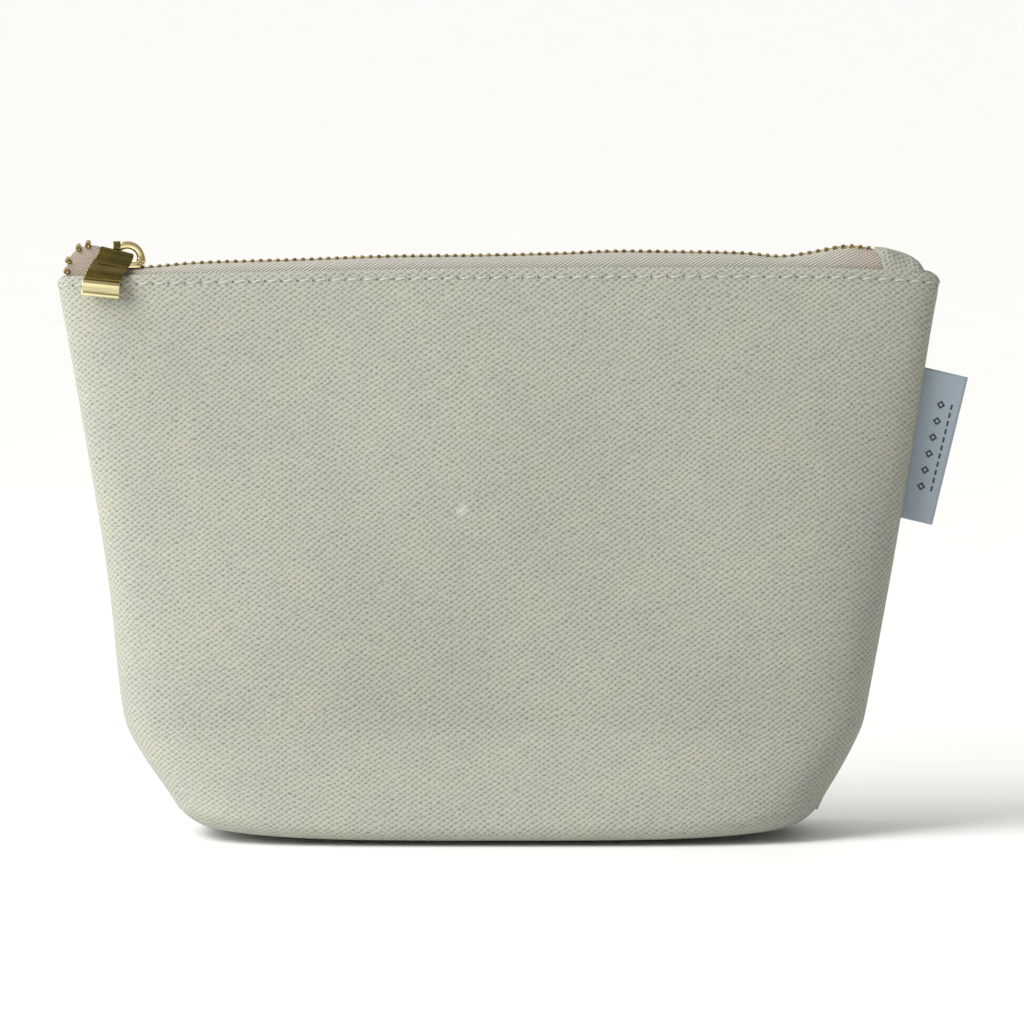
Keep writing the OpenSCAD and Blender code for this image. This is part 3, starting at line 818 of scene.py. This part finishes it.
def plated_gold(name, pale, deep, rough, painted_reflection=None):
    """Electroplated gold over polished metal: a mirror with slow ripples from tumbling. Where the
    piece's own attribute is 1, the colour is mixed towards a paler one, a painted bright reflection."""
    material, tree, shader = new_material(name)
    place = add(tree, "TexCoord").outputs["Object"]
    film = noise(tree, place, 420.0, 3.0)
    colour = colour_ramp(tree, film.outputs["Fac"], (0.3, deep), (0.7, pale))
    ripple = noise(tree, place, 520.0, 2.0)
    wear = noise(tree, place, 2600.0, 3.0)
    gloss = add(tree, "MapRange", {"Value": wear.outputs["Fac"], "To Min": rough, "To Max": rough + 0.1})
    bump = add(tree, "Bump", {"Height": ripple.outputs["Fac"], "Strength": 0.2, "Distance": 0.0002})
    # The paler colour on the marked part is a painted bright reflection.
    if painted_reflection:
        where = add(tree, "Attribute", attribute_name="cloth")
        where = add(tree, "SeparateXYZ", {0: where.outputs["Vector"]})
        colour = blend(tree, where.outputs[0], colour, linear(painted_reflection))
    feed(tree, shader, {"Base Color": colour, "Roughness": gloss, "Normal": bump, "Metallic": 1.0})
    return material


def on_zip(points):
    """From the slider's own axes to the pouch: tipped up by the zip's slope and moved to its closed
    place."""
    tip = turn_about_y(np.array([math.atan(ZIP_SLOPE)]))[0]
    return np.asarray(points) @ tip.T + SLIDER_AT


def shield(length, width, n=48):
    """Plate outline: a superellipse, narrower towards the end where the closed teeth leave."""
    a = np.linspace(0, 2 * np.pi, n, endpoint=False)
    x = np.sign(np.cos(a)) * np.abs(np.cos(a)) ** 0.62 * length / 2
    taper = 1 - 0.1 * np.clip(x / length * 2, 0, 1) ** 2
    y = np.sign(np.sin(a)) * np.abs(np.sin(a)) ** 0.5 * width / 2 * taper
    return np.stack([x, y], -1)


def pillowed(outline, low, high, soft):
    """A slab with that outline and rounded edges: rings that shrink by the cosine of an angle and
    climb by its sine."""
    turn = np.linspace(-np.pi / 2, np.pi / 2, 9)[:, None]
    shrink = soft * (1 - np.cos(turn))
    middle = outline.mean(0)
    size = np.abs(outline - middle).max(0)
    ring = middle + (outline - middle)[None] * (1 - shrink[..., None] / size)
    z = (low + high) / 2 + ((high - low) / 2) * np.sin(turn)
    points = np.concatenate([ring, np.broadcast_to(z[..., None], (*ring.shape[:2], 1))], -1)
    return points.reshape(-1, 3), tube_faces(len(turn), len(outline))


def gathered(parts):
    """Several closed shapes as one list of points and faces."""
    points, faces, start = [], [], 0
    for p, f in parts:
        points.append(p)
        faces += [[i + start for i in face] for face in f]
        start += len(p)
    return np.concatenate(points), faces


def strip_outline(x0, x1, y0, y1, n=6):
    """A rectangle's outline with n points on each side."""
    t = np.linspace(0, 1, n, endpoint=False)
    x = np.concatenate([x0 + (x1 - x0) * t, np.full(n, x1), x1 + (x0 - x1) * t, np.full(n, x0)])
    y = np.concatenate([np.full(n, y0), y0 + (y1 - y0) * t, np.full(n, y1), y1 + (y0 - y1) * t])
    return np.stack([x, y], -1)


def swept(path, across, out, in_plane, depth, sides, power):
    """A tube along a path: rings with half sizes in_plane along out and depth along across, squared
    by raising the cosine and sine to a power under 1."""
    a = np.linspace(0, 2 * np.pi, sides, endpoint=False)[None, :, None]
    c, s = np.cos(a), np.sin(a)
    c, s = np.sign(c) * np.abs(c) ** power, np.sign(s) * np.abs(s) ** power
    wide, deep = out * in_plane[:, None], across * depth[:, None]
    points = path[:, None] + wide[:, None] * c + deep[:, None] * s
    return points.reshape(-1, 3), [f[:1] + f[:0:-1] for f in tube_faces(len(path), sides)]


def hoop_shape():
    """The hoop: a half circle on two short legs, swelling by a bell curve into the plate at its
    feet."""
    base = PLATE_Z + PLATE_T + HOOP_LEG
    mid = HOOP_R - HOOP_BAR / 2
    turn = np.linspace(0, np.pi, 41)
    arch = np.stack([mid * np.cos(turn), 0 * turn, base + mid * np.sin(turn)], -1)
    leg = np.linspace(PLATE_Z + PLATE_T * 0.4, base, 6)[:-1]
    right = np.stack([np.full(5, mid), np.zeros(5), leg], -1)
    left = np.stack([np.full(5, -mid), np.zeros(5), leg[::-1]], -1)
    path = np.concatenate([right, arch, left]) + np.array([HOOP_RIGHT, 0, 0])
    turn = np.concatenate([np.zeros(5), turn, np.full(5, np.pi)])
    out = np.stack([np.cos(turn), 0 * turn, np.sin(turn)], -1)
    across = np.tile([0.0, 1.0, 0.0], (len(path), 1))
    foot = np.exp(-((path[:, 2] - PLATE_Z - PLATE_T) / 0.7) ** 2)
    wide, deep = HOOP_BAR / 2 + 0.25 * foot, 0.85 + 0.35 * foot
    return swept(path, across, out, wide, deep, sides=24, power=0.6)


def slider_shapes():
    """Both plates, their flanges, the divider and the hoop, about the slider's middle."""
    outline = shield(SLIDER_L, SLIDER_W)
    parts = [
        pillowed(outline, PLATE_Z, PLATE_Z + PLATE_T, 0.28),
        pillowed(outline, -PLATE_Z - PLATE_T, -PLATE_Z, 0.28),
    ]
    for side in (-1, 1):
        for level in (-1, 1):
            y = sorted((side * FLANGE_Y, side * (SLIDER_W / 2 - 0.12)))
            z = sorted((level * SLIT_H / 2, level * (PLATE_Z + 0.3)))
            flange = strip_outline(-SLIDER_L * 0.36, SLIDER_L * 0.4, *y)
            parts.append(pillowed(flange, z[0], z[1], 0.12))
    wedge = np.array([
        [-4.4, -1.0], [-3.4, -1.15], [-2.4, -0.9], [-1.0, 0.0], [-2.4, 0.9], [-3.4, 1.15], [-4.4, 1.0]
    ])
    parts.append(pillowed(wedge, -PLATE_Z - 0.3, PLATE_Z + 0.3, 0.05))
    parts.append(hoop_shape())
    return gathered(parts)


gold = plated_gold("zinc_cast_gold_plated", "#F2E6BC", "#E0CC8C", 0.07)
points, faces = slider_shapes()
slider = mesh_piece("slider_with_hoop", on_zip(points), faces, gold, "slider")
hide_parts("slider_body")

# ---------------------------------------------------------------- puller
# A strap of brass sheet, its tongue curled through the hoop as an eye, bent in an S so that it clears
# the hem, and turned up at the end into a thick lip to grip. It is polished and plated.
EYE_AT = np.array([-1.0, 0.0, PLATE_Z + PLATE_T + HOOP_LEG + 3.25])
EYE_R, EYE_T, STRAP_T, LIP_T = 1.4, 0.4, 0.8, 0.7
EYE_SHIFT, STRAP_SHIFT = np.array([-1.0, 0.0, -0.4]), np.array([-0.8, 0.0, -1.2])


def smooth_line(corners, n):
    """A Catmull-Rom curve through the corners: each stretch is a cubic whose end slopes are half
    the chords between the corners on either side."""
    p = np.concatenate([[2 * corners[0] - corners[1]], corners, [2 * corners[-1] - corners[-2]]])
    t = np.linspace(0, 1, n, endpoint=False)[None, :, None]
    a, b, c, d = p[:-3, None], p[1:-2, None], p[2:-1, None], p[3:, None]
    square, cube = 2 * a - 5 * b + 4 * c - d, 3 * b - a - 3 * c + d
    curve = 0.5 * (2 * b + (c - a) * t + square * t ** 2 + cube * t ** 3)
    return np.concatenate([curve.reshape(-1, corners.shape[1]), corners[-1:]])


def ribbon(line, thick, width, edge=0.16):
    """A strap along a line in the YZ plane: offset both ways by half its thickness, and as wide
    along X as its width there, with its four long edges rounded by quarter circles."""
    way = np.gradient(line, axis=0)
    way /= np.linalg.norm(way, axis=1, keepdims=True)
    normal = np.stack([way[:, 1], -way[:, 0]], -1)
    corner = np.linspace(0, np.pi / 2, 5)
    x_in, t_in = edge * (1 - np.cos(corner)), edge * (1 - np.sin(corner))
    half, depth = width[:, None] / 2 - x_in, np.full((len(line), 1), thick / 2) - t_in
    x = np.concatenate([half, -half[:, ::-1], -half, half[:, ::-1]], 1)
    t = np.concatenate([depth, depth[:, ::-1], -depth, -depth[:, ::-1]], 1)
    places = line[:, None] + normal[:, None] * t[..., None]
    points = np.concatenate([x[..., None], places], -1)
    return points.reshape(-1, 3), tube_faces(*points.shape[:2])


def hung_askew(points):
    """The strap's own bend: its middle drifts left as it falls, and its right side hangs lower than
    its left."""
    z = points[:, 2]
    down = np.array([-10.2, -6.9, -5.2, -3.4, -1.8, -0.5, 0.6])
    drift = np.interp(z, down, [-4.35, -4.1, -3.3, -2.0, -0.9, -0.3, 0.0])
    slope = np.interp(z, [-6.8, -0.5], [-0.13, -0.27])
    return np.stack([points[:, 0] + drift, points[:, 1], z + slope * points[:, 0]], -1)


def puller_shapes():
    """Eye, strap and lip in the puller's own axes, as ribbons along side views given in y and z.
    The strap starts in a rolled shoulder and ends in a box-shaped lip."""
    hook = np.linspace(np.radians(-70), np.radians(200), 30)
    eye_line = np.stack([EYE_R * np.cos(hook), EYE_R * np.sin(hook)], -1)
    eye, eye_faces = ribbon(eye_line, EYE_T, np.full(30, 1.8))
    eye = eye + EYE_SHIFT
    strap_line = smooth_line(np.array([
        [-1.3, -1.1], [-1.75, -0.2], [-2.5, 0.0], [-3.15, -0.6], [-3.5, -1.8], [-4.3, -3.1],
        [-6.1, -4.0], [-7.6, -4.8], [-8.1, -5.9], [-8.1, -7.2],
    ]), 8)
    drop = np.linspace(0, 1, len(strap_line))
    width = np.interp(drop, [0, 0.1, 0.18, 0.26, 0.6, 1], [4.6, 6.2, 7.6, 8.3, 8.8, 9.2])
    strap = ribbon(strap_line, STRAP_T, width)
    front = smooth_line(np.array([
        [-8.0, -6.95], [-8.6, -7.05], [-9.7, -7.0], [-10.3, -7.05], [-10.45, -7.35], [-10.3, -7.75],
        [-10.28, -8.6], [-10.3, -9.5], [-10.45, -9.85], [-10.25, -10.2], [-9.4, -10.3], [-8.5, -10.3],
        [-8.05, -10.1], [-8.0, -9.4], [-8.0, -8.2], [-8.0, -7.1],
    ]), 6)
    lip = ribbon(front, LIP_T, np.full(len(front), 9.3), edge=0.2)
    core = np.array([[-9.2, -7.2], [-9.2, -8.0], [-9.2, -9.0], [-9.2, -10.1]])
    fill = ribbon(core, 1.9, np.full(4, 8.9))
    body, faces = gathered([strap, lip, fill])
    points, faces = gathered([(eye, eye_faces), (hung_askew(body) + STRAP_SHIFT, faces)])
    # The lip and its filler are marked for the paler colour, a painted bright reflection.
    bright = np.zeros_like(points)
    bright[len(eye) + len(strap[0]):, 0] = 1.0
    return points, faces, bright


# The strap's dark olive colours are a painted dark reflection and the lip's pale colour is a painted
# bright reflection, both on the same polished plating.
strap_gold = plated_gold("brass_strap_gold_plated", "#857843", "#74693A", 0.1, painted_reflection="#E0D6A4")
points, faces, bright = puller_shapes()
puller = mesh_piece(
    "puller_strap", on_zip(points + EYE_AT), faces, strap_gold, "puller", bright
)
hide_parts("pull_tab")

# ---------------------------------------------------------------- floor, light and camera
# A plain white table, a wide soft light from the upper left and a studio whose walls are bright and
# whose ceiling is dark, which is what the polished metal mirrors.
FLOOR_R = 60.0


def studio_floor():
    """A flat disc, with a painted white finish."""
    material, tree, shader = new_material("painted_table")
    grain = add(tree, "TexNoise", {"Vector": add(tree, "TexCoord").outputs["Object"], "Scale": 60.0})
    tone = colour_ramp(tree, grain.outputs["Fac"], (0.0, "#F2F2F1"), (1.0, "#F5F5F4"))
    feed(tree, shader, {"Base Color": tone, "Roughness": 0.7})
    a = np.linspace(0, 2 * np.pi, 96, endpoint=False)
    points = np.stack([FLOOR_R * np.cos(a), FLOOR_R * np.sin(a), 0 * a - 0.0002], -1)
    mesh = bpy.data.meshes.new("table")
    mesh.from_pydata(points.tolist(), [], [list(range(96))])
    mesh.materials.append(material)
    table = bpy.data.objects.new("table", mesh)
    bpy.context.scene.collection.objects.link(table)


def aimed(thing, place, target):
    """Puts a lamp or camera at place, looking at target."""
    thing.location = place
    way = np.array(target) - np.array(place)
    thing.rotation_euler = (
        math.atan2(math.hypot(way[0], way[1]), -way[2]), 0.0, math.atan2(way[0], -way[1]) + math.pi
    )


def soft_sun(name, place, angle, strength):
    """A distant lamp that shines from place towards the pouch, as wide as a soft box when angle is
    large."""
    lamp = bpy.data.lights.new(name, "SUN")
    lamp.angle = math.radians(angle)
    lamp.energy = strength
    thing = bpy.data.objects.new(name, lamp)
    bpy.context.scene.collection.objects.link(thing)
    aimed(thing, place, (0.0, 0.0, 0.07))


def studio_world():
    """White walls that dim towards the right and a dark ceiling: brightness falls with height and
    with X."""
    world = bpy.data.worlds.new("studio")
    bpy.context.scene.world = world
    world.use_nodes = True
    tree = world.node_tree
    tree.nodes.clear()
    sky = add(tree, "TexCoord").outputs["Generated"]
    ramp = add(tree, "ValToRGB", {"Fac": add(tree, "SeparateXYZ", {0: sky}).outputs[2]})
    ramp.color_ramp.elements[0].position = 0.3
    ramp.color_ramp.elements[0].color = (1.0, 1.0, 1.0, 1.0)
    ramp.color_ramp.elements[1].position = 0.75
    ramp.color_ramp.elements[1].color = (0.62, 0.6, 0.56, 1.0)
    side = vector(tree, "DOT_PRODUCT", sky, (0.7, -0.55, 0.0))
    side = add(tree, "MapRange", {
        "Value": side.outputs["Value"], "From Min": -0.7, "From Max": 0.8, "To Min": 1.3, "To Max": 0.3
    })
    glow = add(tree, "Background", {"Color": ramp, "Strength": side})
    add(tree, "OutputWorld", {"Surface": glow})


studio_floor()
studio_world()
soft_sun("sun_left", (-0.95, -0.4, 1.2), 35.0, 2.0)
key = bpy.data.lights.new("key_left", "AREA")
key.size = 0.45
key.energy = 4.2
key_lamp = bpy.data.objects.new("key_left", key)
bpy.context.scene.collection.objects.link(key_lamp)
aimed(key_lamp, (-0.62, -0.5, 0.42), (0.0, 0.0, 0.09))
bpy.context.scene.view_settings.view_transform = "Standard"

CAMERA_UP, CAMERA_AWAY, VIEW_W = math.radians(6.6), 3.0, 0.2552
AIM = np.array([0.0034, -0.004, 0.0808])
camera_data = bpy.data.cameras.new("camera")
camera_data.sensor_width = 36.0
camera_data.lens = 36.0 * CAMERA_AWAY / VIEW_W
camera = bpy.data.objects.new("camera", camera_data)
bpy.context.scene.collection.objects.link(camera)
aimed(camera, AIM + CAMERA_AWAY * np.array([0, -math.cos(CAMERA_UP), math.sin(CAMERA_UP)]), AIM)
bpy.context.scene.camera = camera
